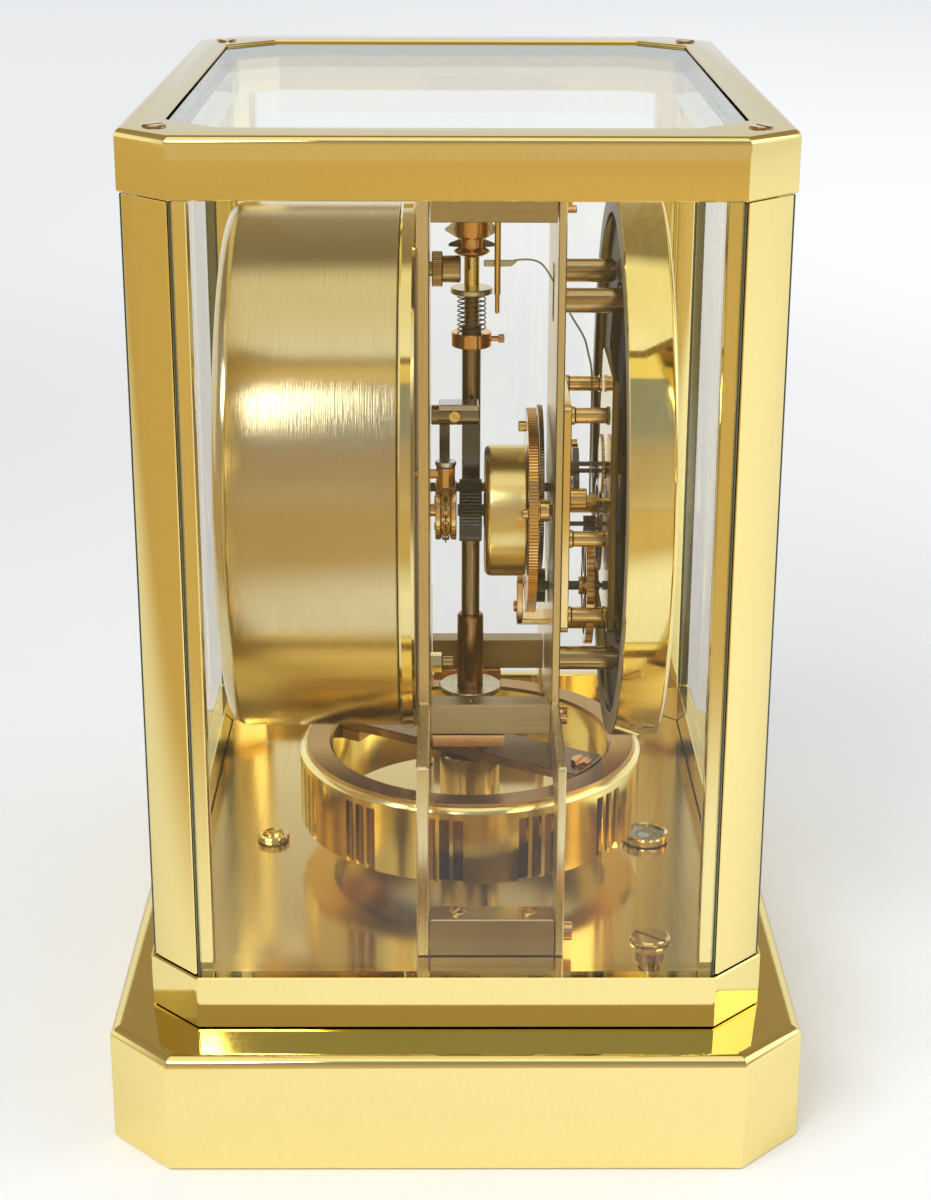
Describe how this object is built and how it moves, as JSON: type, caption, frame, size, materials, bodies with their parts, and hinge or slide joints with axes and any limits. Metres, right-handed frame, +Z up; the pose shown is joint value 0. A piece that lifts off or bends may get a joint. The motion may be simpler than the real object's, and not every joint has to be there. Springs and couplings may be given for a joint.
{
  "type": "atmospheric clock",
  "caption": "Table clock in a glazed gold case with cut corners: dial, wheel movement, bellows drum and a torsion pendulum ring hung on a thin wire.",
  "frame": {"origin": "middle of the plinth's underside, on the table", "axes": "+Z up; the dial faces -Y and the bellows drum lies at +Y; the picture's camera stands at -X and looks along +X"},
  "size_m": [0.2204, 0.16, 0.2337],
  "materials": {
    "polished_gold": "mirror-polished gold plate",
    "satin_brass": "satin pale brass",
    "brushed_brass": "brushed greenish brass",
    "copper_brass": "satin copper-coloured brass",
    "dark_bronze": "dark bronze, half polished",
    "dark_steel": "dark polished steel",
    "clear_glass": "clear polished glass",
    "pale_dial": "pale matt paint"
  },
  "bodies": {
    "case": {"plinth": "polished_gold", "base_plate": "satin_brass", "bottom_rim": "polished_gold", "corner_post_front_left": "polished_gold", "corner_post_front_right": "polished_gold", "corner_post_rear_left": "polished_gold", "corner_post_rear_right": "polished_gold", "top_frame": "polished_gold", "top_glass": "clear_glass", "rear_glass": "clear_glass", "left_glass": "clear_glass", "right_glass": "clear_glass", "cap_screw_front_left": "copper_brass", "cap_screw_front_right": "copper_brass", "cap_screw_rear_left": "copper_brass", "cap_screw_rear_right": "copper_brass", "rear_foot": "satin_brass", "spirit_level": "satin_brass", "back_plate": "satin_brass", "front_plate": "satin_brass", "top_block": "brushed_brass", "mid_block_left": "brushed_brass", "mid_block_right": "brushed_brass", "foot_block_left": "brushed_brass", "foot_block_right": "brushed_brass", "bellows_drum": "brushed_brass", "bellows_flange": "polished_gold", "chain": "satin_brass", "winding_bracket": "dark_bronze", "module_rear_plate": "copper_brass", "module_front_plate": "copper_brass", "dial_plate": "pale_dial", "bezel": "polished_gold", "suspension_bush": "copper_brass", "torsion_wire": "dark_steel"},
    "pendulum": {"pendulum_ring": "polished_gold", "pendulum_bar": "brushed_brass", "pendulum_staff": "dark_bronze", "staff_spring": "dark_steel"},
    "anchor_body": {"anchor": "dark_steel"},
    "minute_body": {"minute_hand": "polished_gold"},
    "hour_body": {"hour_hand": "polished_gold"},
    "motion_body": {"motion_wheel": "copper_brass"},
    "third_body": {"third_wheel": "copper_brass"},
    "fourth_body": {"fourth_wheel": "dark_bronze"},
    "escape_body": {"escape_wheel": "copper_brass"},
    "second_body": {"second_wheel": "dark_bronze"},
    "barrel_body": {"barrel": "brushed_brass", "great_wheel": "copper_brass", "mainspring": "dark_steel"},
    "winding_body": {"winding_pulley": "copper_brass", "ratchet_wheel": "dark_steel"},
    "capsule_body": {"bellows_capsule": "copper_brass"},
    "lever_body": {"lock_lever": "satin_brass"},
    "column_body": {"lock_column": "satin_brass"},
    "pad_left_body": {"foot_pad_left": "dark_steel"},
    "pad_right_body": {"foot_pad_right": "dark_steel"},
    "screw_left_body": {"levelling_screw_left": "satin_brass"},
    "screw_right_body": {"levelling_screw_right": "satin_brass"},
    "front_glass_body": {"front_glass": "clear_glass"}
  },
  "joints": [
    {"name": "minute_turn", "type": "hinge", "parent": "case", "child": "minute_body", "pos_m": [0.00001, -0.03, 0.13632], "axis": [0, 1, 0], "continuous": true},
    {"name": "hour_turn", "type": "hinge", "parent": "case", "child": "hour_body", "pos_m": [0.00001, -0.03, 0.13632], "axis": [0, 1, 0], "continuous": true},
    {"name": "motion_turn", "type": "hinge", "parent": "case", "child": "motion_body", "pos_m": [-0.00635, -0.03, 0.14268], "axis": [0, 1, 0], "continuous": true},
    {"name": "third_turn", "type": "hinge", "parent": "case", "child": "third_body", "pos_m": [0.008, -0.03, 0.1008], "axis": [0, 1, 0], "continuous": true},
    {"name": "fourth_turn", "type": "hinge", "parent": "case", "child": "fourth_body", "pos_m": [0.007, -0.03, 0.11811], "axis": [0, 1, 0], "continuous": true},
    {"name": "escape_turn", "type": "hinge", "parent": "case", "child": "escape_body", "pos_m": [0.01251, -0.03, 0.13085], "axis": [0, 1, 0], "continuous": true},
    {"name": "second_turn", "type": "hinge", "parent": "case", "child": "second_body", "pos_m": [0.01699, -0.03, 0.12498], "axis": [0, 1, 0], "continuous": true},
    {"name": "barrel_turn", "type": "hinge", "parent": "case", "child": "barrel_body", "pos_m": [-0.01159, -0.03, 0.12758], "axis": [0, 1, 0], "continuous": true},
    {"name": "anchor_rock", "type": "hinge", "parent": "case", "child": "anchor_body", "pos_m": [-0.0024, -0.03, 0.1276], "axis": [0, 1, 0], "range_deg": [-2, 2]},
    {"name": "pendulum_turn", "type": "hinge", "parent": "case", "child": "pendulum", "pos_m": [0, -0.0038, 0.05], "axis": [0, 0, 1], "range_deg": [-270, 270], "stiffness_Nm_per_rad": 0.000007},
    {"name": "bellows_breathe", "type": "slide", "parent": "case", "child": "capsule_body", "axis": [0, 1, 0], "range_m": [-0.001, 0.001]},
    {"name": "winding_turn", "type": "hinge", "parent": "case", "child": "winding_body", "pos_m": [-0.01159, -0.03, 0.12758], "axis": [0, 1, 0], "range_deg": [-7.8, 7.8]},
    {"name": "lock_lift", "type": "slide", "parent": "case", "child": "column_body", "axis": [0, 0, 1], "range_m": [0, 0.0009]},
    {"name": "lock_swing", "type": "hinge", "parent": "case", "child": "lever_body", "pos_m": [0, -0.0038, 0.0234], "axis": [0, 0, 1], "range_deg": [0, 60]},
    {"name": "front_glass_pull", "type": "slide", "parent": "case", "child": "front_glass_body", "axis": [0, -1, 0], "range_m": [0, 0.04]},
    {"name": "pad_left_slide", "type": "slide", "parent": "case", "child": "pad_left_body", "axis": [0, 0, 1], "range_m": [-0.0019, 0.0019]},
    {"name": "screw_left_turn", "type": "hinge", "parent": "pad_left_body", "child": "screw_left_body", "pos_m": [-0.071, -0.0464, 0.02], "axis": [0, 0, 1], "range_deg": [-1020, 1020]},
    {"name": "pad_right_slide", "type": "slide", "parent": "case", "child": "pad_right_body", "axis": [0, 0, 1], "range_m": [-0.0019, 0.0019]},
    {"name": "screw_right_turn", "type": "hinge", "parent": "pad_right_body", "child": "screw_right_body", "pos_m": [0.071, -0.0464, 0.02], "axis": [0, 0, 1], "range_deg": [-1020, 1020]}
  ],
  "couplings": [
    {"joint": "minute_turn", "follows": "third_turn", "ratio": 12},
    {"joint": "hour_turn", "follows": "third_turn", "ratio": 1},
    {"joint": "motion_turn", "follows": "third_turn", "ratio": -4},
    {"joint": "fourth_turn", "follows": "third_turn", "ratio": -7.5},
    {"joint": "escape_turn", "follows": "third_turn", "ratio": 48},
    {"joint": "second_turn", "follows": "third_turn", "ratio": -0.2},
    {"joint": "barrel_turn", "follows": "third_turn", "ratio": 0.025},
    {"joint": "winding_turn", "follows": "bellows_breathe", "rad_per_m": 136},
    {"joint": "lock_swing", "follows": "lock_lift", "rad_per_m": 1160},
    {"joint": "screw_left_turn", "follows": "pad_left_slide", "rad_per_m": 8976},
    {"joint": "screw_right_turn", "follows": "pad_right_slide", "rad_per_m": 8976}
  ]
}
